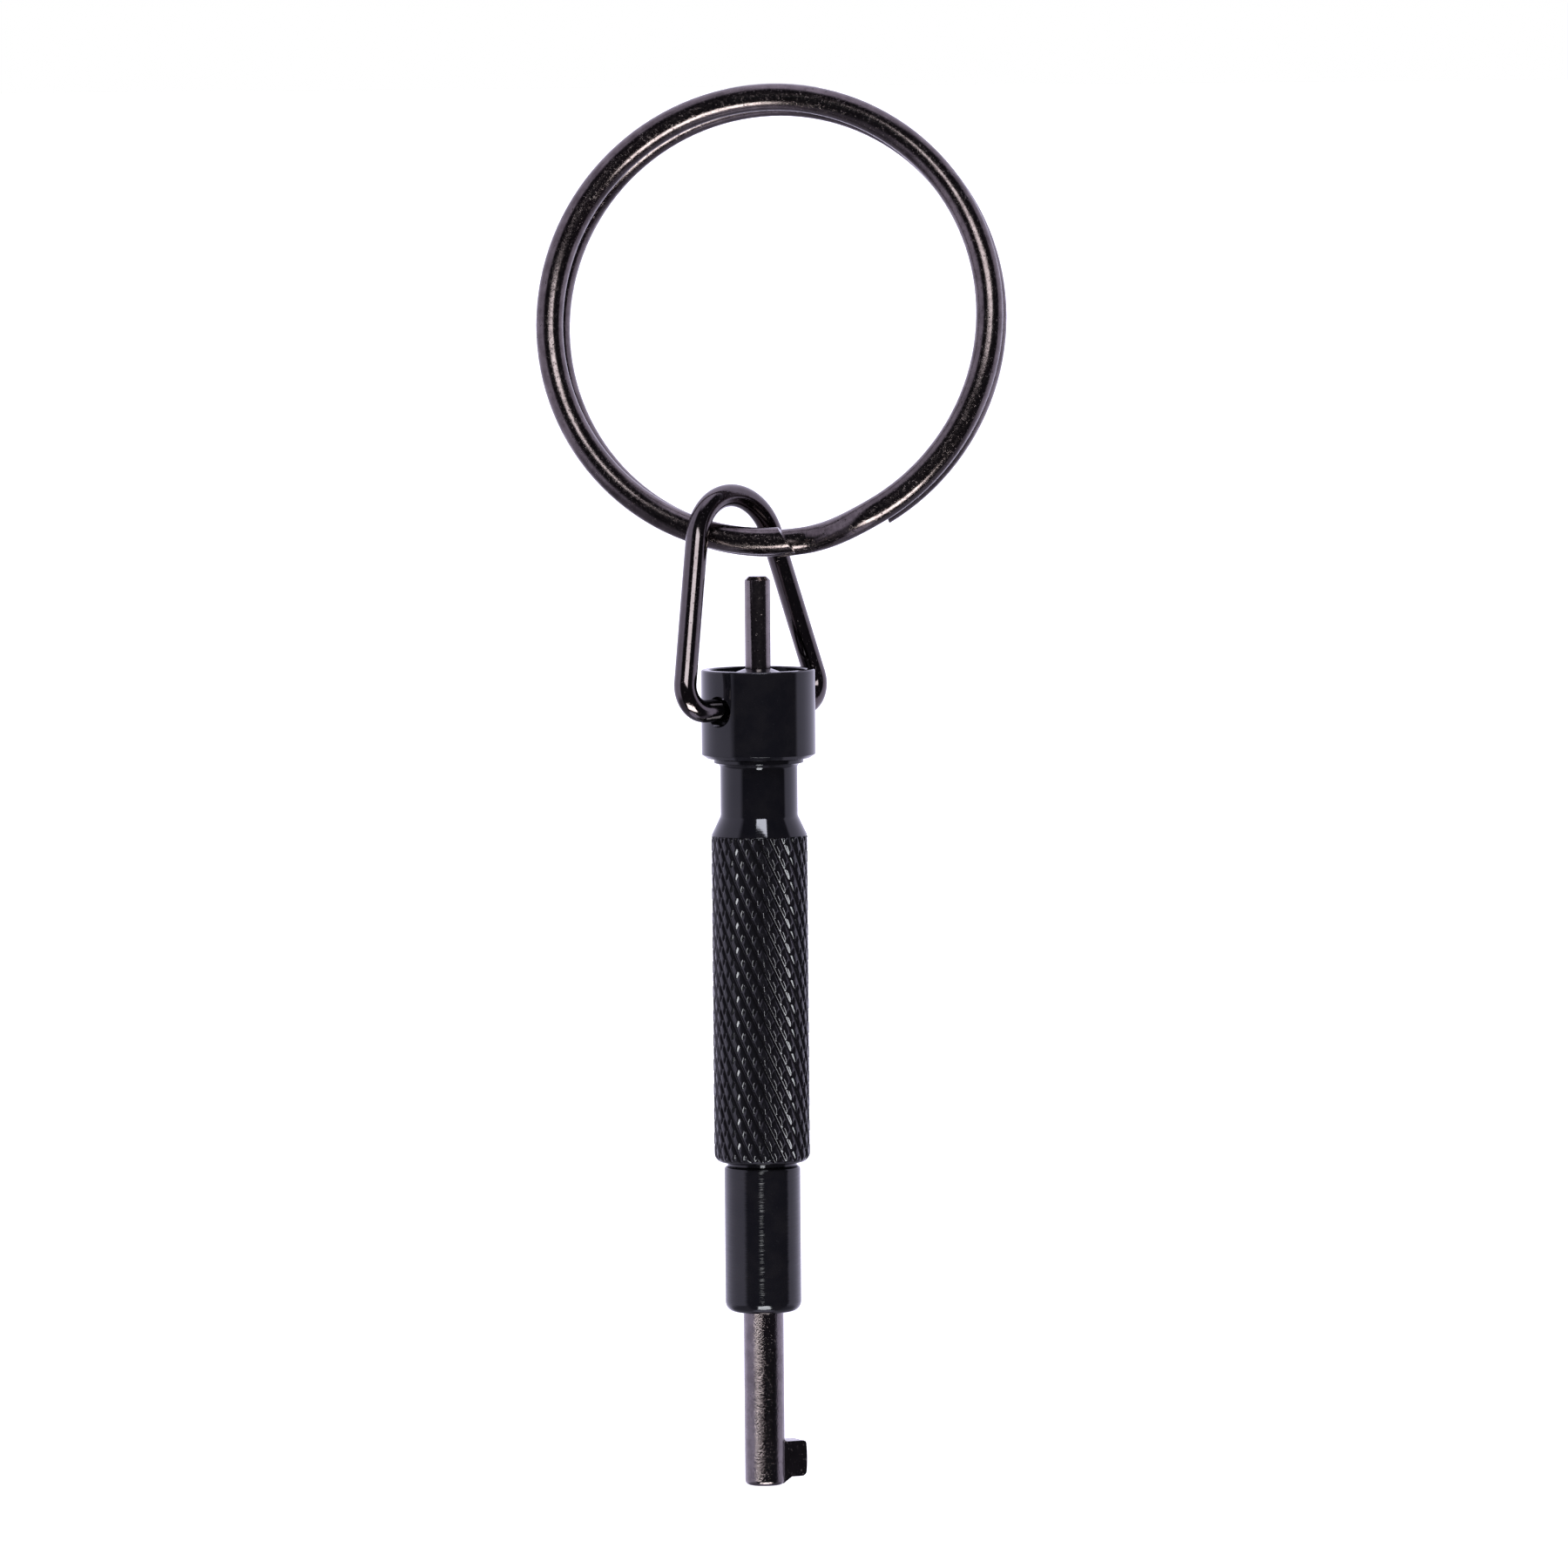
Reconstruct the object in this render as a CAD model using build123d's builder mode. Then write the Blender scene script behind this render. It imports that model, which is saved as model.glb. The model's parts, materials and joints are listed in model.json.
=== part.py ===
"""Swivel handcuff key on a split ring.

A knurled aluminium grip carries a steel key barrel in its nose and a plain steel pin at the other
end.  A cup-shaped collar turns on the grip's stem, held by a washer and a C-shaped retaining ring.
A wire bail pivots in the collar's cross holes, and a two-turn split ring hangs in the bail.

Frame: origin at the centre of the key barrel's open tip, +Z up the tool's axis towards the ring,
-Y the front, +X to the right.  Millimetres.
"""

import os
from math import cos, pi, radians, sin, tan

from build123d import *

# ---------------------------------------------------------------- driving dimensions

# Key barrel and its bit
barrel_d = 3.24
barrel_out = 14.1  # how far it stands out of the nose
barrel_in = 7.5  # how far it is pressed into the nose
barrel_edge = 0.4
key_bore_d = 2.15  # goes over the post inside the lock
key_bore_depth = 10.0
bit_reach = 3.32  # from the tool's axis to the bit's end
bit_bulge = 0.08  # how much the bit's end is rounded
bit_thickness = 2.0
bit_turn = 25.0  # the bit points to the right, turned this far towards the back
bit_bottom = 0.62
bit_top = 3.52
bit_top_edge = 0.3
bit_bottom_edge = 0.45
bit_web = 0.33  # the slope from the bit's underside to the barrel's rounded end starts this far out
bit_heel = 0.12  # and ends this high
bit_root = 0.25  # fillet where the bit's top meets the barrel

# Nose sleeve
nose_d = 6.15
nose_length = 11.85
nose_bottom_edge = 0.85
nose_top_edge = 0.3

# Grip body
spigot_d = 4.0  # pressed into the top of the nose sleeve
spigot_length = 4.0
relief_d = 5.6
relief_width = 0.25
grip_d = 7.75
grip_length = 26.5
grip_bottom_edge = 0.8
waist_d = 6.23
waist_taper = 1.6
waist_length = 4.25
waist_bottom_blend = 0.6
waist_top_blend = 0.4
flange_d = 7.25
flange_thickness = 0.35

# Stem that the collar turns on
stem_d = 4.8
stem_cone = 0.5  # height of the conical end
stem_above_rim = 0.05

# Swivel collar
collar_d = 9.2
collar_height = 7.15
collar_wall = 0.68
collar_floor = 1.75
collar_bevel_in = 0.42  # the slope round the collar's underside, inwards
collar_bevel_up = 0.3
collar_top_edge = 0.1
running_gap = 0.05
cross_hole_d = 2.5
cross_hole_height = 3.9  # above the collar's underside
cross_hole_turn = 45.0  # the holes' axis at rest, turned from the front to the left

# Thrust washer and retaining ring
washer_d = 7.4
washer_thickness = 0.25
clip_groove_d = 4.0
clip_d = 6.4
clip_thickness = 0.35
clip_mouth = 3.0

# Double-lock pin
pin_d = 2.07
pin_shank_d = 1.5  # the part pressed into the stem
pin_out = 7.45  # above the stem
pin_in = 9.0
pin_edge = 0.32

# Bail
bail_wire_d = 1.83
bail_half_width = 7.98  # to the point where a leg's line meets the axle's line
bail_leg_slope = 15.0
bail_height = 17.25  # from the axle's line to the centre line of the arch
bail_corner = 1.9
bail_end = 3.05  # the wire's ends stop this far from the bail's middle
bail_end_edge = 0.15
bail_lean = 8.3  # at rest, towards the back left
bail_shift = 0.55  # at rest, along the cross holes towards the front left
bail_lift = 0.15  # how far above the holes' axis the wire rides

# Split ring
ring_wire_d = 2.2
ring_d = 38.35
back_turn_inset = 0.11  # the back turn's radius is this much smaller
ring_gap = 0.04  # between its two turns
ring_turn = 11.0  # the ring's right side at rest, turned towards the front
ring_pitch = 10.0  # the ring's top at rest, leaning back
ring_centre = (1.34, 3.75, 94.04)
front_end_angle = -84.0  # the front turn starts here and runs clockwise
back_end_angle = -57.0  # the back turn ends here
crossing_start_angle = -60.0
ring_end_slant = 29.0  # the cut across each end, longest on the ring's outside
ring_end_tip = 2.2  # angle that a tip reaches past its end's centre
crossing_steps = 8

# ---------------------------------------------------------------- derived places

nose_z = barrel_out
relief_z = nose_z + nose_length
grip_z = relief_z + relief_width
grip_top_z = grip_z + grip_length
waist_z = grip_top_z + waist_taper
flange_z = waist_z + waist_length
flange_top_z = flange_z + flange_thickness
collar_z = flange_top_z + running_gap
floor_z = collar_z + collar_floor
rim_z = collar_z + collar_height
washer_z = floor_z + running_gap
clip_z = washer_z + washer_thickness + running_gap
clip_top_z = clip_z + clip_thickness
stem_top_z = rim_z + stem_above_rim
pin_top_z = stem_top_z + pin_out
pin_bottom_z = stem_top_z - pin_in
barrel_top_z = nose_z + barrel_in
spigot_z = relief_z - spigot_length
axle_z = collar_z + cross_hole_height

# The bit stands in its own upright plane: x away from the tool's axis, y up.
bit_way = Vector(cos(radians(bit_turn)), sin(radians(bit_turn)), 0)
bit_plane = Plane(origin=(0, 0, 0), x_dir=bit_way, z_dir=bit_way.cross(Vector(0, 0, 1)))

# The bail turns about the cross holes' axis and leans across it.
axle = Vector(-sin(radians(cross_hole_turn)), -cos(radians(cross_hole_turn)), 0)
bail_up = Vector(0, 0, 1).rotate(Axis((0, 0, 0), axle), bail_lean)
bail_middle = Vector(0, 0, axle_z + bail_lift) + axle * bail_shift
bail_plane = Plane(origin=bail_middle, x_dir=axle, z_dir=axle.cross(bail_up))
bail_apex = bail_half_width / tan(radians(bail_leg_slope))
bail_arch = (bail_apex - bail_height) / (1 / sin(radians(bail_leg_slope)) - 1)

# The ring's own plane: x to its right, y up, z to the front, midway between its two turns.
ring_right = Vector(cos(radians(ring_turn)), -sin(radians(ring_turn)), 0)
ring_up = Vector(0, 0, 1).rotate(Axis((0, 0, 0), ring_right), -ring_pitch)
ring_plane = Plane(origin=ring_centre, x_dir=ring_right, z_dir=ring_right.cross(ring_up))
ring_axis = Axis(ring_centre, -ring_plane.z_dir)
front_r = (ring_d - ring_wire_d) / 2
back_r = front_r - back_turn_inset
turn_offset = (ring_wire_d + ring_gap) / 2
turn_arc = 360 + front_end_angle + ring_end_tip - crossing_start_angle
crossing_end_angle = front_end_angle + back_end_angle - crossing_start_angle  # both turns are as long
cut_half = 0.6 * ring_wire_d
cut_reach = 1.2 * front_r * sin(radians(ring_end_tip))


def corner(sketch, r, z):
    """The corner of a turned outline that is nearest to radius r and height z."""
    return sketch.vertices().sort_by_distance((r, z))[0]


# ---------------------------------------------------------------- key barrel and bit

with BuildPart() as key_barrel:
    with BuildSketch(Plane.XY):
        Circle(barrel_d / 2)
    extrude(amount=barrel_top_z)
    fillet(key_barrel.edges().group_by(Axis.Z)[0], barrel_edge)
    with BuildSketch(bit_plane) as bit:
        with BuildLine():
            Line((0, bit_top), (bit_reach - bit_bulge, bit_top))
            ThreePointArc(
                (bit_reach - bit_bulge, bit_top),
                (bit_reach, (bit_bottom + bit_top) / 2),
                (bit_reach - bit_bulge, bit_bottom),
            )
            Polyline(
                (bit_reach - bit_bulge, bit_bottom),
                (barrel_d / 2 + bit_web, bit_bottom),
                (barrel_d / 2 - barrel_edge, bit_heel),
                (0, bit_heel),
                (0, bit_top),
            )
        make_face()
        fillet(corner(bit, bit_reach, bit_top), bit_top_edge)
        fillet(corner(bit, bit_reach, bit_bottom), bit_bottom_edge)
    extrude(amount=bit_thickness / 2, both=True)
    bit_joint = key_barrel.edges().filter_by(GeomType.CIRCLE).filter_by_position(Axis.Z, bit_top, bit_top)
    fillet(bit_joint, bit_root)
    with BuildSketch(Plane.XY):
        Circle(key_bore_d / 2)
    extrude(amount=key_bore_depth, mode=Mode.SUBTRACT)

# ---------------------------------------------------------------- nose sleeve

with BuildPart() as nose_sleeve:
    with BuildSketch(Plane.XZ) as nose_outline:
        with BuildLine():
            Polyline(
                (barrel_d / 2, nose_z),
                (nose_d / 2, nose_z),
                (nose_d / 2, relief_z),
                (spigot_d / 2, relief_z),
                (spigot_d / 2, spigot_z),
                (barrel_d / 2, spigot_z),
                close=True,
            )
        make_face()
        fillet(corner(nose_outline, nose_d / 2, nose_z), nose_bottom_edge)
        fillet(corner(nose_outline, nose_d / 2, relief_z), nose_top_edge)
    revolve(axis=Axis.Z)

# ---------------------------------------------------------------- grip body

with BuildPart() as grip_body:
    with BuildSketch(Plane.XZ) as grip_outline:
        with BuildLine():
            Polyline(
                (0, spigot_z),
                (spigot_d / 2, spigot_z),
                (spigot_d / 2, relief_z),
                (relief_d / 2, relief_z),
                (relief_d / 2, grip_z),
                (grip_d / 2, grip_z),
                (grip_d / 2, grip_top_z),
                (waist_d / 2, waist_z),
                (waist_d / 2, flange_z),
                (flange_d / 2, flange_z),
                (flange_d / 2, flange_top_z),
                (stem_d / 2, flange_top_z),
                (stem_d / 2, clip_z),
                (clip_groove_d / 2, clip_z),
                (clip_groove_d / 2, clip_top_z),
                (stem_d / 2, clip_top_z),
                (stem_d / 2, stem_top_z - stem_cone),
                (pin_d / 2, stem_top_z),
                (pin_shank_d / 2, stem_top_z),
                (pin_shank_d / 2, pin_bottom_z),
                (0, pin_bottom_z),
                close=True,
            )
        make_face()
        fillet(corner(grip_outline, grip_d / 2, grip_z), grip_bottom_edge)
        fillet(corner(grip_outline, waist_d / 2, waist_z), waist_bottom_blend)
        fillet(corner(grip_outline, waist_d / 2, flange_z), waist_top_blend)
    revolve(axis=Axis.Z)

# ---------------------------------------------------------------- swivel collar

with BuildPart() as swivel_collar:
    with BuildSketch(Plane.XZ) as collar_outline:
        with BuildLine():
            Polyline(
                (stem_d / 2 + running_gap, collar_z),
                (collar_d / 2 - collar_bevel_in, collar_z),
                (collar_d / 2, collar_z + collar_bevel_up),
                (collar_d / 2, rim_z),
                (collar_d / 2 - collar_wall, rim_z),
                (collar_d / 2 - collar_wall, floor_z),
                (stem_d / 2 + running_gap, floor_z),
                close=True,
            )
        make_face()
        chamfer(corner(collar_outline, collar_d / 2, rim_z), collar_top_edge)
        chamfer(corner(collar_outline, collar_d / 2 - collar_wall, rim_z), collar_top_edge)
    revolve(axis=Axis.Z)
    with BuildSketch(Plane(origin=(0, 0, axle_z), z_dir=axle)):
        Circle(cross_hole_d / 2)
    extrude(amount=collar_d, both=True, mode=Mode.SUBTRACT)

# ---------------------------------------------------------------- thrust washer

with BuildPart() as thrust_washer:
    with BuildSketch(Plane.XY.offset(washer_z)):
        Circle(washer_d / 2)
        Circle(stem_d / 2 + running_gap, mode=Mode.SUBTRACT)
    extrude(amount=washer_thickness)

# ---------------------------------------------------------------- retaining ring

with BuildPart() as retaining_ring:
    with BuildSketch(Plane.XY.offset(clip_z)):
        Circle(clip_d / 2)
        Circle(clip_groove_d / 2, mode=Mode.SUBTRACT)
        with Locations((0, -clip_d / 2)):
            Rectangle(clip_mouth, clip_d, mode=Mode.SUBTRACT)
    extrude(amount=clip_thickness)

# ---------------------------------------------------------------- double-lock pin

with BuildPart() as lock_pin:
    with BuildSketch(Plane.XY.offset(pin_bottom_z)):
        Circle(pin_shank_d / 2)
    extrude(amount=pin_in)
    with BuildSketch(Plane.XY.offset(stem_top_z)):
        Circle(pin_d / 2)
    extrude(amount=pin_out)
    pin_rims = lock_pin.edges().filter_by(GeomType.CIRCLE).group_by(Axis.Z)
    chamfer(pin_rims[0] + pin_rims[-1], pin_edge)

# ---------------------------------------------------------------- bail

with BuildPart() as bail:
    with BuildLine(bail_plane) as bail_path:
        FilletPolyline(
            (bail_end, 0),
            (bail_half_width, 0),
            (0, bail_apex),
            (-bail_half_width, 0),
            (-bail_end, 0),
            radius=(bail_corner, bail_arch, bail_corner),
        )
    with BuildSketch(Plane(origin=bail_path.line @ 0, z_dir=bail_path.line % 0)):
        Circle(bail_wire_d / 2)
    sweep()
    chamfer(bail.faces().filter_by(GeomType.PLANE).edges(), bail_end_edge)

# ---------------------------------------------------------------- split ring


def ring_point(angle, radius, offset):
    """The frame at a place on the ring: x outwards, y anticlockwise along the wire, z to the front."""
    return ring_plane.location * Rot(0, 0, angle) * Pos(radius, 0, offset)


def wire_plane(angle, radius, offset):
    """The plane across the ring's wire there, facing clockwise along the wire."""
    return Plane(ring_point(angle, radius, offset) * Rot(90, 0, 0))


def crossing_point(step):
    """A point where the wire goes over from the front turn to the back one, step from 0 to 1."""
    ease = (1 - cos(pi * step)) / 2
    angle = crossing_start_angle + (crossing_end_angle - crossing_start_angle) * step
    return ring_point(angle, front_r - back_turn_inset * ease, turn_offset * (1 - 2 * ease)).position


crossing_start = wire_plane(crossing_start_angle, front_r, turn_offset)
crossing_end = wire_plane(crossing_end_angle, back_r, -turn_offset)

with BuildPart() as split_ring:
    with BuildSketch(wire_plane(front_end_angle + ring_end_tip, front_r, turn_offset)):
        Circle(ring_wire_d / 2)
    revolve(axis=ring_axis, revolution_arc=turn_arc)
    with BuildLine() as crossing:
        Spline(
            [crossing_point(step / crossing_steps) for step in range(crossing_steps + 1)],
            tangents=(crossing_start.z_dir, crossing_end.z_dir),
        )
    with BuildSketch(crossing_start):
        Circle(ring_wire_d / 2)
    sweep(path=crossing.line)
    with BuildSketch(crossing_end):
        Circle(ring_wire_d / 2)
    revolve(axis=ring_axis, revolution_arc=turn_arc)
    # The slanting cut across each end
    for end_angle, radius, offset, side in (
        (front_end_angle, front_r, turn_offset, 1),
        (back_end_angle, back_r, -turn_offset, -1),
    ):
        with BuildSketch(Plane(ring_point(end_angle, radius, offset))):
            Polygon(
                (-cut_half, -side * cut_half * tan(radians(ring_end_slant))),
                (cut_half, side * cut_half * tan(radians(ring_end_slant))),
                (cut_half, side * cut_reach),
                (-cut_half, side * cut_reach),
                align=None,
            )
        extrude(amount=ring_wire_d / 2 + ring_gap / 4, both=True, mode=Mode.SUBTRACT)

# ---------------------------------------------------------------- files

os.makedirs("parts", exist_ok=True)

key_barrel.part.label = "key_barrel"
nose_sleeve.part.label = "nose_sleeve"
grip_body.part.label = "grip_body"
lock_pin.part.label = "lock_pin"
swivel_collar.part.label = "swivel_collar"
thrust_washer.part.label = "thrust_washer"
retaining_ring.part.label = "retaining_ring"
bail.part.label = "bail"
split_ring.part.label = "split_ring"

export_step(key_barrel.part, "parts/key_barrel.step")
export_step(nose_sleeve.part, "parts/nose_sleeve.step")
export_step(grip_body.part, "parts/grip_body.step")
export_step(lock_pin.part, "parts/lock_pin.step")
export_step(swivel_collar.part, "parts/swivel_collar.step")
export_step(thrust_washer.part, "parts/thrust_washer.step")
export_step(retaining_ring.part, "parts/retaining_ring.step")
export_step(bail.part, "parts/bail.step")
export_step(split_ring.part, "parts/split_ring.step")
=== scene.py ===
"""Looks of the swivel key on its split ring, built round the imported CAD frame.

The CAD nodes keep their shapes, except the grip, which gets its real cut knurl.  Every surface has a
procedural material.  The studio is a white tent with a dark front, which turns with the camera, as do
the softboxes.  Each softbox lights one group of parts.  Lengths are in millimetres and angles in
degrees, unless a line says otherwise.
"""

import json
import math

import bpy
from mathutils import Matrix, Vector, noise


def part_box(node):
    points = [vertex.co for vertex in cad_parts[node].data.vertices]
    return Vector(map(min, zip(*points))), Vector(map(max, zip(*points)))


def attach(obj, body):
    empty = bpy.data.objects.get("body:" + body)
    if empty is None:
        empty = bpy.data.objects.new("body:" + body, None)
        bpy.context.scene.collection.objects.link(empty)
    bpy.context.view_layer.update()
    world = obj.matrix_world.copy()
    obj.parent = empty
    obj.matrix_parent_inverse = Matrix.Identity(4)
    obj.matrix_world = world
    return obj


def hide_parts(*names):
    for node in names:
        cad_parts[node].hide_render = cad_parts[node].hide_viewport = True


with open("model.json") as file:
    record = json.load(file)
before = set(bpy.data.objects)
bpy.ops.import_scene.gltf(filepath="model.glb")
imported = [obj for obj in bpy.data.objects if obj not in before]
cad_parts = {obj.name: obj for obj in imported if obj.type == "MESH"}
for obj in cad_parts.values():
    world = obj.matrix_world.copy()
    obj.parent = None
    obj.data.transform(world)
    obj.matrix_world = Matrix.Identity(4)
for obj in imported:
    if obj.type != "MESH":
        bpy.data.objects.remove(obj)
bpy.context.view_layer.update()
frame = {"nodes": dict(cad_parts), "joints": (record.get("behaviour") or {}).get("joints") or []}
scene = bpy.context.scene
MM = 0.001  # in metres

# ---------------------------------------------------------------- places from the frame


def low_z(node):
    """Lowest height of a CAD node, in millimetres."""
    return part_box(node)[0].z / MM


def high_z(node):
    """Highest height of a CAD node, in millimetres."""
    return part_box(node)[1].z / MM


nose_top_z = high_z("nose_sleeve")
spigot_z = low_z("grip_body")
stem_top_z = high_z("grip_body")
pin_bottom_z = low_z("lock_pin")
clip_z = low_z("retaining_ring")
clip_top_z = high_z("retaining_ring")
collar_gap = 0.05  # between the grip's flange and the collar
flange_top_z = low_z("swivel_collar") - collar_gap
ring_joint = next(j for j in frame["joints"] if j["name"] == "ring_slide_round")

# ---------------------------------------------------------------- node graphs


class Graph:
    """Short calls for building a node tree."""

    def __init__(self, tree):
        self.tree = tree
        tree.nodes.clear()

    def put(self, socket, value):
        """Links another socket to this one, or sets its plain value."""
        if isinstance(value, bpy.types.NodeSocket):
            self.tree.links.new(value, socket)
        else:
            socket.default_value = value

    def node(self, kind, inputs=None, **settings):
        """A new shader node with its settings and inputs."""
        made = self.tree.nodes.new("ShaderNode" + kind)
        for name, value in settings.items():
            setattr(made, name, value)
        for name, value in (inputs or {}).items():
            self.put(made.inputs[name], value)
        return made

    def math(self, operation, *values):
        """One sum on numbers."""
        made = self.tree.nodes.new("ShaderNodeMath")
        made.operation = operation
        for socket, value in zip(made.inputs, values):
            self.put(socket, value)
        return made.outputs[0]

    def vector(self, operation, *values):
        """One sum on vectors; the answer is a vector, or a number for DOT_PRODUCT and LENGTH."""
        made = self.tree.nodes.new("ShaderNodeVectorMath")
        made.operation = operation
        for socket, value in zip(made.inputs, values):
            self.put(socket, value)
        return made.outputs["Value" if operation in ("DOT_PRODUCT", "LENGTH") else "Vector"]

    def scaled(self, vector, factor):
        """The vector times one number."""
        made = self.node("VectorMath", operation="SCALE")
        self.put(made.inputs[0], vector)
        self.put(made.inputs["Scale"], factor)
        return made.outputs["Vector"]

    def stretched(self, vector, factors):
        """The vector with each axis scaled by its own factor."""
        return self.vector("MULTIPLY", vector, factors)

    def ramp(self, value, start, end, low=0.0, high=1.0):
        """A smooth step from low at start to high at end."""
        inputs = {"Value": value, "From Min": start, "From Max": end, "To Min": low, "To Max": high}
        return self.node("MapRange", inputs, interpolation_type="SMOOTHSTEP").outputs["Result"]

    def noise(self, vector, scale, detail=3.0, roughness=0.5, w=None):
        """Noise from 0 to 1, in four dimensions when w is given."""
        inputs = {"Vector": vector, "Scale": scale, "Detail": detail, "Roughness": roughness}
        made = self.node("TexNoise", inputs)
        if w is not None:
            made.noise_dimensions = "4D"
            self.put(made.inputs["W"], w)
        return made.outputs["Fac"]

    def blend(self, share, a, b):
        """A mix of two colours. The node has other sockets of the same names, so these go by number."""
        made = self.node("Mix", data_type="RGBA")
        for k, value in ((0, share), (6, a), (7, b)):
            self.put(made.inputs[k], value)
        return made.outputs[2]

    def millimetres(self):
        """The place on the object at rest, in millimetres."""
        place = self.node("TexCoord").outputs["Object"]
        return self.scaled(place, 1 / MM)


def new_material(name):
    """A material with an empty graph, the graph and a Principled shader."""
    material = bpy.data.materials.new(name)
    material.use_nodes = True
    graph = Graph(material.node_tree)
    shader = graph.node("BsdfPrincipled")
    output = graph.node("OutputMaterial")
    graph.put(output.inputs["Surface"], shader.outputs["BSDF"])
    return material, graph, shader


def bump(graph, shader, *layers, edge=0.05):
    """Bump layers as (height socket, depth), over edges softened to a radius."""
    normal = graph.node("Bevel", {"Radius": edge * MM}, samples=4).outputs["Normal"]
    for height, depth in layers:
        inputs = {"Height": height, "Distance": depth * MM, "Strength": 1.0, "Normal": normal}
        normal = graph.node("Bump", inputs).outputs["Normal"]
    graph.put(shader.inputs["Normal"], normal)


# ---------------------------------------------------------------- materials


anodised_dark = (0.0052, 0.0050, 0.0068, 1)
anodised_light = (0.0085, 0.0078, 0.0092, 1)
anodised_speck = (0.030, 0.028, 0.032, 1)
crest_black = (0.0078, 0.0074, 0.0090, 1)
# painted shade and dust: the darker black for the knurl's grooves
groove_shade_and_dust = (0.0045, 0.0040, 0.0048, 1)
rubbed_black = (0.022, 0.020, 0.024, 1)
plating_pit = (0.02, 0.016, 0.015, 1)
ring_light = (0.185, 0.158, 0.156, 1)
ring_dark = (0.108, 0.090, 0.091, 1)
ring_grime = (0.045, 0.036, 0.040, 1)
ring_rubbed = (0.36, 0.32, 0.30, 1)
ring_pit = (0.02, 0.015, 0.015, 1)


def anodised(name, roughness, coarse_depth, fine_depth):
    """Black anodised aluminium with turning marks round the tool's axis and faint handling marks."""
    material, graph, shader = new_material(name)
    place = graph.millimetres()
    coarse = graph.noise(graph.stretched(place, (0.25, 0.25, 3.2)), 1.0, 3.0, 0.6)
    close = graph.noise(graph.stretched(place, (0.5, 0.5, 14.0)), 1.0, 2.0, 0.5)
    blotch = graph.noise(place, 0.55, 4.0, 0.6)
    specks = graph.ramp(graph.noise(place, 5.5, 2.0, 0.7), 0.68, 0.74)
    tint = graph.blend(graph.ramp(blotch, 0.35, 0.7), anodised_dark, anodised_light)
    tint = graph.blend(graph.math("MULTIPLY", specks, 0.35), tint, anodised_speck)
    graph.put(shader.inputs["Base Color"], tint)
    rough = graph.ramp(graph.noise(place, 1.4, 4.0, 0.65), 0.3, 0.75, roughness, roughness * 1.7)
    graph.put(shader.inputs["Roughness"], rough)
    shader.inputs["IOR"].default_value = 1.5
    bump(graph, shader, (coarse, coarse_depth), (close, fine_depth))
    return material


def knurled():
    """The knurl's black anodising: painted shade and dust in the grooves, rubbed on the crests."""
    material, graph, shader = new_material("knurl_anodised")
    place = graph.millimetres()
    depth = graph.node("Attribute", attribute_name="groove").outputs["Fac"]
    wear = graph.noise(place, 1.1, 4.0, 0.7)
    rubbed = graph.math("MULTIPLY", graph.ramp(depth, 0.12, 0.0), graph.ramp(wear, 0.5, 0.72))
    # darker with the groove's depth: painted shade in the grooves, with some dust
    tint = graph.blend(depth, crest_black, groove_shade_and_dust)
    tint = graph.blend(graph.math("MULTIPLY", rubbed, 0.4), tint, rubbed_black)
    graph.put(shader.inputs["Base Color"], tint)
    rough = graph.ramp(graph.noise(place, 2.2, 3.0, 0.6), 0.3, 0.7, 0.08, 0.17)
    graph.put(shader.inputs["Roughness"], rough)
    shader.inputs["IOR"].default_value = 1.55
    grain = graph.noise(place, 8.0, 3.0, 0.65)
    bump(graph, shader, (grain, 0.004), edge=0.02)
    return material


def plated(name, base, dark, roughness, mottling, peel):
    """Black nickel plating on steel: mottled, with an orange-peel skin, pinholes and draw marks."""
    material, graph, shader = new_material(name)
    place = graph.millimetres()
    mottle = graph.noise(place, 1.1, 5.0, 0.65)
    drawn = graph.noise(graph.stretched(place, (9.0, 9.0, 0.35)), 1.0, 3.0, 0.6)
    skin = graph.noise(place, 6.5, 3.0, 0.65)
    pits = graph.ramp(graph.noise(place, 5.0, 2.0, 0.7), 0.34, 0.27)
    tint = graph.blend(graph.ramp(mottle, 0.35, 0.7, 0.0, mottling), base, dark)
    tint = graph.blend(graph.ramp(drawn, 0.5, 0.75, 0.0, 0.35), tint, dark)
    tint = graph.blend(graph.math("MULTIPLY", pits, 0.6), tint, plating_pit)
    graph.put(shader.inputs["Base Color"], tint)
    shader.inputs["Metallic"].default_value = 1.0
    rough = graph.ramp(skin, 0.3, 0.7, roughness * 0.8, roughness * 1.5)
    graph.put(shader.inputs["Roughness"], rough)
    bump(graph, shader, (drawn, 0.002), (skin, peel), (pits, -0.008))
    return material


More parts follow.
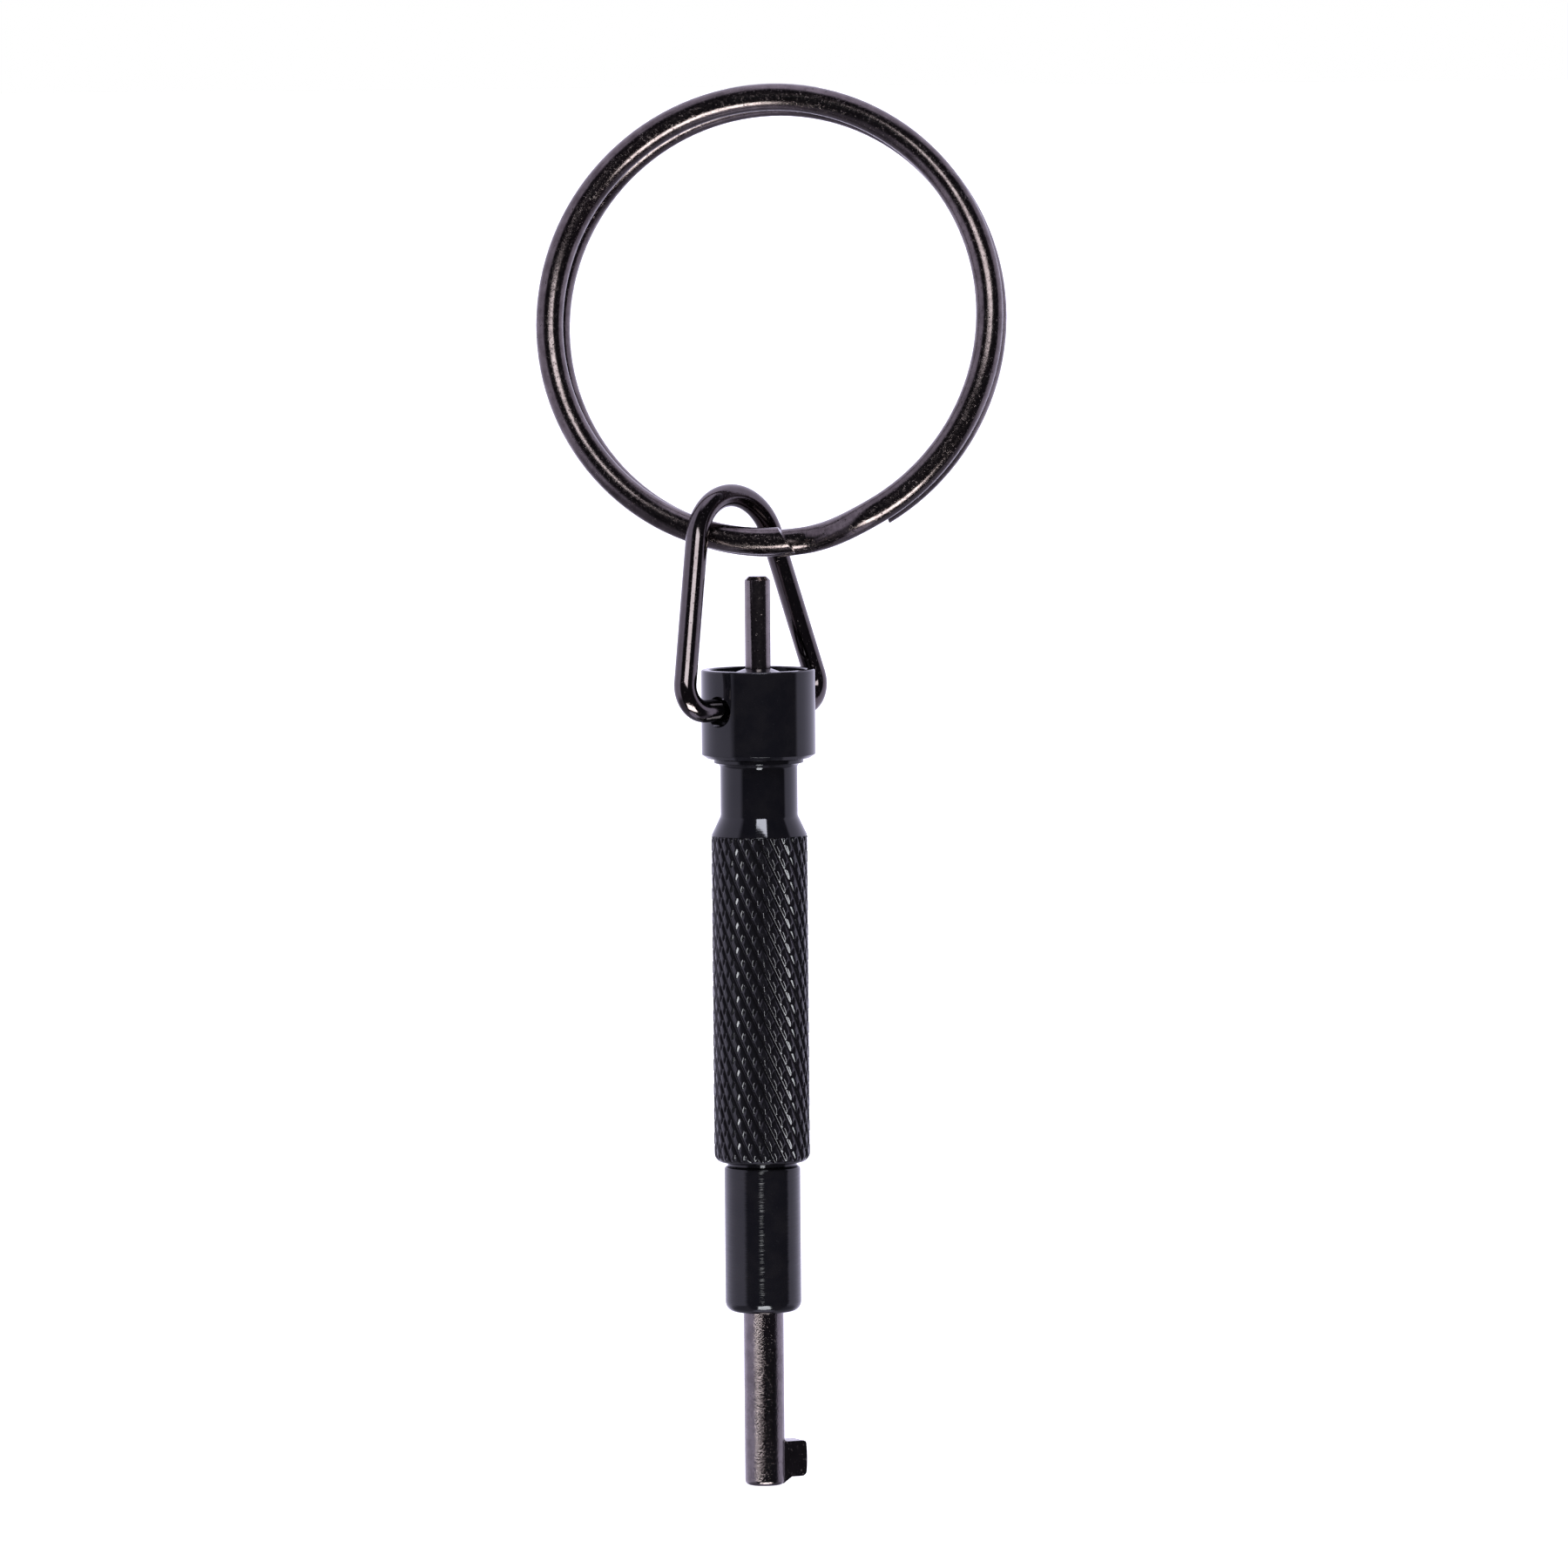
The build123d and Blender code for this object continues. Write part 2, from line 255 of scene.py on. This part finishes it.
def ring_steel():
    """The split ring's plating: grime and scuffs drawn out along the wire."""
    material, graph, shader = new_material("ring_steel")
    place = graph.millimetres()
    centre = Vector(ring_joint["pos_m"]) / MM
    axis = Vector(ring_joint["axis"]).normalized()
    local = graph.vector("SUBTRACT", place, tuple(centre))
    height = graph.vector("DOT_PRODUCT", local, tuple(axis))
    flat = graph.vector("SUBTRACT", local, graph.scaled(tuple(axis), height))
    radius = graph.vector("LENGTH", flat)
    parts = graph.node("SeparateXYZ", {"Vector": flat})
    along_x = graph.math("MULTIPLY", parts.outputs["X"], 0.16)
    along_z = graph.math("MULTIPLY", parts.outputs["Z"], 0.16)
    wire = graph.node("CombineXYZ", {"X": radius, "Y": height, "Z": along_x}).outputs["Vector"]
    mottle = graph.noise(place, 0.9, 5.0, 0.68)
    streaks = graph.noise(wire, 3.2, 4.0, 0.65, w=along_z)
    skin = graph.noise(place, 5.0, 4.0, 0.7)
    rubbed = graph.ramp(graph.noise(place, 3.6, 4.0, 0.78), 0.60, 0.72)
    pits = graph.ramp(graph.noise(place, 3.4, 3.0, 0.7), 0.38, 0.30)
    tint = graph.blend(graph.ramp(mottle, 0.3, 0.72), ring_light, ring_dark)
    tint = graph.blend(graph.ramp(streaks, 0.5, 0.75, 0.0, 0.5), tint, ring_grime)
    tint = graph.blend(graph.math("MULTIPLY", rubbed, 0.45), tint, ring_rubbed)
    tint = graph.blend(graph.math("MULTIPLY", pits, 0.7), tint, ring_pit)
    graph.put(shader.inputs["Base Color"], tint)
    shader.inputs["Metallic"].default_value = 1.0
    graph.put(shader.inputs["Roughness"], graph.ramp(skin, 0.35, 0.7, 0.10, 0.24))
    bump(graph, shader, (streaks, 0.006), (skin, 0.008), (rubbed, 0.006), (pits, -0.010))
    return material


def dress(node, material):
    """Gives a CAD node one material in all its slots."""
    mesh = frame["nodes"][node].data
    mesh.materials.clear()
    mesh.materials.append(material)


# ---------------------------------------------------------------- knurled grip

spigot_r = 2.0
relief_r = 2.8
relief_width = 0.25
grip_r = 3.875
grip_length = 26.5
grip_bottom_edge = 0.8
waist_r = 3.115
waist_taper = 1.6
waist_length = 4.25
waist_bottom_blend = 0.6
waist_top_blend = 0.4
flange_r = 3.625
stem_r = 2.4
stem_cone = 0.5
clip_groove_r = 2.0
pin_r = 1.035
pin_shank_r = 0.75
small_edge = 0.05
flange_edge = 0.06

knurl_starts = 25  # diamonds round the grip
knurl_height = 1.98  # of one diamond
knurl_steps = 12  # mesh columns to one diamond
knurl_margin = 0.08  # plain length left at the knurl's top
cone_step_in = 0.12  # the small step from the knurl up to the cone
cone_step_up = 0.03
knurl_skin = 0.0025  # the depth of the fine waves all over the knurl
sharp_angle = 58.0  # edges that bend more than this are shaded sharp
first_half = 0.22  # half the width of the first grooves, as a share of a diamond's
first_cut = 0.13  # the shallower grooves, which climb to the right
second_half = 0.35  # half the width of the second grooves
second_cut = 0.21  # the deeper grooves, which climb to the left and cut the first ones through


def rounded(corners, steps=6):
    """An outline of (radius, height) points from corners given as (radius, height, fillet)."""
    points = []
    for i, (r, z, fillet) in enumerate(corners):
        here = Vector((r, z))
        if not fillet:
            points.append((r, z))
            continue
        before = Vector(corners[i - 1][:2]) - here
        after = Vector(corners[i + 1][:2]) - here
        half = before.angle(after) / 2
        back = fillet / math.tan(half)
        centre = here + (before.normalized() + after.normalized()).normalized() * fillet / math.sin(half)
        start = here + before.normalized() * back - centre
        end = here + after.normalized() * back - centre
        turn = start.angle_signed(end)
        for k in range(steps + 1):
            spoke = Matrix.Rotation(-turn * k / steps, 2) @ start
            points.append(tuple(centre + spoke))
    return points


def sharp_groove(share, half):
    """How deep a V-groove is, from 0 to 1, at a place given in diamonds across the grooves."""
    away = abs(share - round(share))
    return max(0.0, 1.0 - away / half)


def round_groove(share, half):
    """The same for a groove with a round bottom and round crests."""
    return (1 - math.cos(math.pi * sharp_groove(share, half))) / 2


def grip_mesh():
    """The whole grip as one closed turned mesh, with the knurl cut into it."""
    grip_z = nose_top_z + relief_width
    grip_top_z = grip_z + grip_length
    waist_z = grip_top_z + waist_taper
    flange_z = waist_z + waist_length
    below = rounded([
        (0.0, spigot_z, 0),
        (spigot_r, spigot_z, 0.15),
        (spigot_r, nose_top_z, 0),
        (relief_r, nose_top_z, small_edge),
        (relief_r, grip_z, small_edge),
        (grip_r - grip_bottom_edge, grip_z, 0),
    ])
    above = rounded([
        (grip_r - cone_step_in, grip_top_z - cone_step_up, 0),
        (grip_r, grip_top_z, 0.04),
        (waist_r, waist_z, waist_bottom_blend),
        (waist_r, flange_z, waist_top_blend),
        (flange_r, flange_z, flange_edge),
        (flange_r, flange_top_z, flange_edge),
        (stem_r, flange_top_z, small_edge),
        (stem_r, clip_z, 0),
        (clip_groove_r, clip_z, 0),
        (clip_groove_r, clip_top_z, 0),
        (stem_r, clip_top_z, 0),
        (stem_r, stem_top_z - stem_cone, 0.08),
        (pin_r, stem_top_z, 0),
        (pin_shank_r, stem_top_z, 0),
        (pin_shank_r, pin_bottom_z, 0),
        (0.0, pin_bottom_z, 0),
    ])
    columns = knurl_starts * knurl_steps
    row_height = knurl_height / (2 * knurl_steps)
    knurl_rows = int((grip_length - knurl_margin) / row_height)
    verts = []
    depths = []

    def spoke_angle(column, climb):
        """A column's angle in radians. The columns climb to the left, as the deeper grooves do."""
        return 2 * math.pi / knurl_starts * (column / knurl_steps - climb / knurl_height)

    def add_ring(r, z, climb):
        """A plain ring of points."""
        for i in range(columns):
            angle = spoke_angle(i, climb)
            verts.append((r * math.cos(angle), r * math.sin(angle), z))
            depths.append(0.0)

    for r, z in below[1:]:
        add_ring(r, z, 0.0)
    for k in range(1, knurl_rows + 1):
        climb = k * row_height
        z = grip_z + climb
        drop = max(0.0, grip_bottom_edge - climb)
        outline = grip_r - grip_bottom_edge + math.sqrt(grip_bottom_edge**2 - drop**2)
        for i in range(columns):
            angle = spoke_angle(i, climb)
            x = math.cos(angle)
            y = math.sin(angle)
            slow = noise.noise(Vector((x * 3, y * 3, z * 0.35)))
            quick = noise.noise(Vector((x * 9, y * 9, z * 2.2)))
            left = round_groove(i / knurl_steps, second_half) * second_cut * (1 + 0.10 * slow)
            right = sharp_groove((i - k) / knurl_steps, first_half) * first_cut * (1 + 0.22 * slow)
            cut = max(left, right)
            r = min(outline, grip_r - cut) - knurl_skin * (1 + quick)
            verts.append((r * x, r * y, z))
            depths.append(min(1.0, cut / second_cut))
    for r, z in above[:-1]:
        add_ring(r, z, knurl_rows * row_height)
    rings = len(verts) // columns
    faces = []
    for k in range(rings - 1):
        for i in range(columns):
            a = k * columns + i
            b = k * columns + (i + 1) % columns
            c = b + columns
            d = a + columns
            faces.append((a, b, c))
            faces.append((a, c, d))
    bottom = len(verts)
    verts.append((0.0, 0.0, spigot_z))
    top = len(verts)
    verts.append((0.0, 0.0, pin_bottom_z))
    depths += [0.0, 0.0]
    last = (rings - 1) * columns
    for i in range(columns):
        j = (i + 1) % columns
        faces.append((bottom, j, i))
        faces.append((top, last + i, last + j))
    mesh = bpy.data.meshes.new("knurled_grip")
    mesh.from_pydata([Vector(v) * MM for v in verts], [], faces)
    layer = mesh.attributes.new("groove", "FLOAT", "POINT")
    layer.data.foreach_set("value", depths)
    mesh.polygons.foreach_set("use_smooth", [True] * len(mesh.polygons))
    mesh.set_sharp_from_angle(angle=math.radians(sharp_angle))
    mesh.validate()
    return mesh


def build_grip():
    """Puts the knurled grip in place of its plain CAD node."""
    grip = bpy.data.objects.new("knurled_grip", grip_mesh())
    scene.collection.objects.link(grip)
    grip.data.materials.append(anodised("grip_anodised", 0.055, 0.002, 0.0004))
    grip.data.materials.append(knurled())
    knurl_bottom = (nose_top_z + relief_width) * MM
    knurl_top = knurl_bottom + (grip_length - 0.02) * MM
    for face in grip.data.polygons:
        inside = knurl_bottom < face.center.z < knurl_top
        face.material_index = 1 if inside else 0
    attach(grip, "grip")
    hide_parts("grip_body")
    return grip


# ---------------------------------------------------------------- studio

# The white tent's edges, as angles seen from the object: each part fades in from the first to the second.
left_wall_edge = (-46.0, -62.0)
right_wall_edge = (79.0, 89.0)
wall_foot_edge = (-34.0, -16.0)
ceiling_edge = (62.0, 78.0)
table_edge = (-66.0, -78.0)
dark_front = 0.03
tent_colour = (0.98, 0.94, 1.22, 1)

camera_distance = 1.1  # metres
camera_lens = 313.2
camera_sensor = 36.0
camera_elevation = 4.0
camera_roll = -0.5
camera_aim = (2.02, 0.0, 56.8)

softbox_distance = 0.5  # metres from the camera's aim
blue_white = (0.86, 0.88, 1.0)
cool_white = (0.92, 0.95, 1.0)
soft_white = (0.95, 0.97, 1.0)
near_white = (0.98, 0.97, 1.0)
warm_white = (1.0, 0.98, 0.96)
rosy_white = (1.0, 0.96, 0.96)
pink_white = (1.0, 0.96, 0.98)

floor_reach = 6.0  # metres each way
floor_light = (0.90, 0.90, 0.90, 1)
floor_lighter = (0.94, 0.94, 0.94, 1)


def build_world():
    """A white tent round the object with a dark front; what the camera sees behind is plain white."""
    world = bpy.data.worlds.new("tent")
    scene.world = world
    world.use_nodes = True
    graph = Graph(world.node_tree)
    direction = graph.node("TexCoord").outputs["Generated"]
    turned = graph.node(
        "VectorTransform",
        {"Vector": direction},
        vector_type="VECTOR",
        convert_from="WORLD",
        convert_to="CAMERA",
    )
    parts = graph.node("SeparateXYZ", {"Vector": turned.outputs["Vector"]})
    right, up, away = parts.outputs["X"], parts.outputs["Y"], parts.outputs["Z"]
    toward = graph.math("MULTIPLY", away, -1.0)
    azimuth = graph.math("DEGREES", graph.math("ARCTAN2", right, toward))
    elevation = graph.math("DEGREES", graph.math("ARCSINE", up))
    left_wall = graph.ramp(azimuth, *left_wall_edge)
    right_wall = graph.ramp(azimuth, *right_wall_edge)
    walls = graph.math("MAXIMUM", left_wall, right_wall)
    behind = graph.ramp(graph.math("ABSOLUTE", azimuth), 90.0, 150.0, 0.78, 1.15)
    walls = graph.math("MULTIPLY", walls, behind)
    walls = graph.math("MULTIPLY", walls, graph.ramp(elevation, *wall_foot_edge, 0.25, 1.0))
    ceiling = graph.ramp(elevation, *ceiling_edge, 0.0, 1.1)
    table = graph.ramp(elevation, *table_edge, 0.0, 0.9)
    tent = graph.math("MAXIMUM", walls, graph.math("MAXIMUM", ceiling, table))
    tent = graph.math("MAXIMUM", tent, dark_front)
    glow = graph.node("Background", {"Color": tent_colour, "Strength": tent})
    plain = graph.node("Background", {"Color": (1, 1, 1, 1), "Strength": 1.0})
    seen = graph.node("LightPath").outputs["Is Camera Ray"]
    mixed = graph.node("MixShader", {"Fac": seen})
    graph.put(mixed.inputs[1], glow.outputs["Background"])
    graph.put(mixed.inputs[2], plain.outputs["Background"])
    output = graph.node("OutputWorld")
    graph.put(output.inputs["Surface"], mixed.outputs["Shader"])


def build_camera():
    """The camera: in front, nearly level, from far off with a long lens."""
    data = bpy.data.cameras.new("camera")
    camera = bpy.data.objects.new("camera", data)
    scene.collection.objects.link(camera)
    scene.camera = camera
    data.lens = camera_lens
    data.sensor_width = camera_sensor
    data.clip_end = 100.0
    elevation = math.radians(camera_elevation)
    aim = Vector(camera_aim) * MM
    back = Vector((0.0, -math.cos(elevation), math.sin(elevation)))
    place = Matrix.Translation(aim + back * camera_distance)
    look = (-back).to_track_quat("-Z", "Y").to_matrix().to_4x4()
    roll = Matrix.Rotation(math.radians(camera_roll), 4, "Z")
    camera.matrix_world = place @ look @ roll
    return camera


def softbox(camera, name, receivers, azimuth, elevation, width, height, radiance, colour):
    """An area light on some parts only, at these angles from the line to the camera.

    It hangs on the camera. The width and height are angles seen from the object.
    """
    data = bpy.data.lights.new(name, "AREA")
    data.shape = "RECTANGLE"
    data.size = 2 * softbox_distance * math.tan(math.radians(width / 2))
    data.size_y = 2 * softbox_distance * math.tan(math.radians(height / 2))
    data.energy = radiance * math.pi * data.size * data.size_y
    data.color = colour
    light = bpy.data.objects.new(name, data)
    scene.collection.objects.link(light)
    a = math.radians(azimuth)
    e = math.radians(elevation)
    spoke = Vector((math.sin(a) * math.cos(e), math.sin(e), math.cos(a) * math.cos(e)))
    place = Vector((0, 0, -camera_distance)) + spoke * softbox_distance
    light.light_linking.receiver_collection = receivers
    light.parent = camera
    light.matrix_local = Matrix.Translation(place) @ spoke.to_track_quat("Z", "Y").to_matrix().to_4x4()


def lit_group(name, *objects):
    """A collection of the objects that a softbox lights."""
    group = bpy.data.collections.new(name)
    for thing in objects:
        group.objects.link(thing)
    return group


def build_softboxes(camera, grip):
    """The softboxes, each on its own group of parts."""
    nodes = frame["nodes"]
    grip_parts = lit_group("grip_parts", grip)
    black_parts = lit_group("black_parts", nodes["nose_sleeve"], nodes["swivel_collar"])
    sleeve_part = lit_group("sleeve_part", nodes["nose_sleeve"])
    barrel_part = lit_group("barrel_part", nodes["key_barrel"])
    metal_names = ("split_ring", "bail", "key_barrel", "lock_pin")
    metal_parts = lit_group("metal_parts", *(nodes[name] for name in metal_names))
    for row in (
        # name, lit parts, azimuth, elevation, width, height, radiance, colour
        ("grip_top", grip_parts, 8.0, 47.0, 24.0, 22.0, 13.0, blue_white),
        ("grip_bottom", grip_parts, 2.0, -40.0, 14.0, 40.0, 12.0, cool_white),
        ("black_top", black_parts, 4.0, 47.0, 24.0, 22.0, 12.0, blue_white),
        ("black_bottom", black_parts, 4.0, -52.0, 30.0, 30.0, 12.0, cool_white),
        ("sleeve_strip", sleeve_part, -2.0, 1.0, 20.0, 10.0, 5.0, soft_white),
        ("metal_top", metal_parts, 8.0, 24.0, 34.0, 20.0, 4.5, near_white),
        ("metal_bottom", metal_parts, 12.0, -50.0, 50.0, 22.0, 9.0, warm_white),
        ("barrel_streak", barrel_part, -28.0, -6.0, 5.0, 50.0, 9.0, rosy_white),
        ("barrel_front", barrel_part, -10.0, 4.0, 30.0, 9.0, 1.2, pink_white),
    ):
        softbox(camera, *row)


def build_floor():
    """A wide pale floor under the key's tip."""
    mesh = bpy.data.meshes.new("floor")
    corners = [(x * floor_reach, y * floor_reach, 0) for x, y in ((-1, -1), (1, -1), (1, 1), (-1, 1))]
    mesh.from_pydata(corners, [], [(0, 1, 2, 3)])
    floor = bpy.data.objects.new("floor", mesh)
    scene.collection.objects.link(floor)
    material, graph, shader = new_material("pale_floor")
    place = graph.millimetres()
    grain = graph.noise(place, 0.02, 3.0, 0.5)
    graph.put(shader.inputs["Base Color"], graph.blend(grain, floor_light, floor_lighter))
    shader.inputs["Roughness"].default_value = 0.9
    shader.inputs["Emission Color"].default_value = (1, 1, 1, 1)
    shader.inputs["Emission Strength"].default_value = 1.0
    mesh.materials.append(material)
    floor.visible_glossy = False
    floor.visible_diffuse = False
    floor.visible_shadow = False


# ---------------------------------------------------------------- putting it together

dress("nose_sleeve", anodised("sleeve_anodised", roughness=0.07, coarse_depth=0.040, fine_depth=0.006))
dress("swivel_collar", anodised("collar_anodised", roughness=0.07, coarse_depth=0.002, fine_depth=0.0005))
dress("split_ring", ring_steel())
barrel_finish = plated(
    "barrel_plating",
    base=(0.225, 0.200, 0.203, 1),
    dark=(0.13, 0.114, 0.116, 1),
    roughness=0.08,
    mottling=0.6,
    peel=0.022,
)
dress("key_barrel", barrel_finish)
pin_finish = plated(
    "pin_plating",
    base=(0.250, 0.222, 0.220, 1),
    dark=(0.15, 0.130, 0.13, 1),
    roughness=0.14,
    mottling=0.4,
    peel=0.004,
)
dress("lock_pin", pin_finish)
bail_finish = plated(
    "bail_plating",
    base=(0.145, 0.128, 0.130, 1),
    dark=(0.105, 0.088, 0.088, 1),
    roughness=0.08,
    mottling=0.5,
    peel=0.001,
)
dress("bail", bail_finish)
spring_finish = plated(
    "spring_steel",
    base=(0.36, 0.34, 0.33, 1),
    dark=(0.2, 0.18, 0.18, 1),
    roughness=0.2,
    mottling=0.5,
    peel=0.002,
)
dress("thrust_washer", spring_finish)
dress("retaining_ring", spring_finish)
grip = build_grip()

build_world()
camera = build_camera()
build_softboxes(camera, grip)
build_floor()
scene.view_settings.view_transform = "Standard"
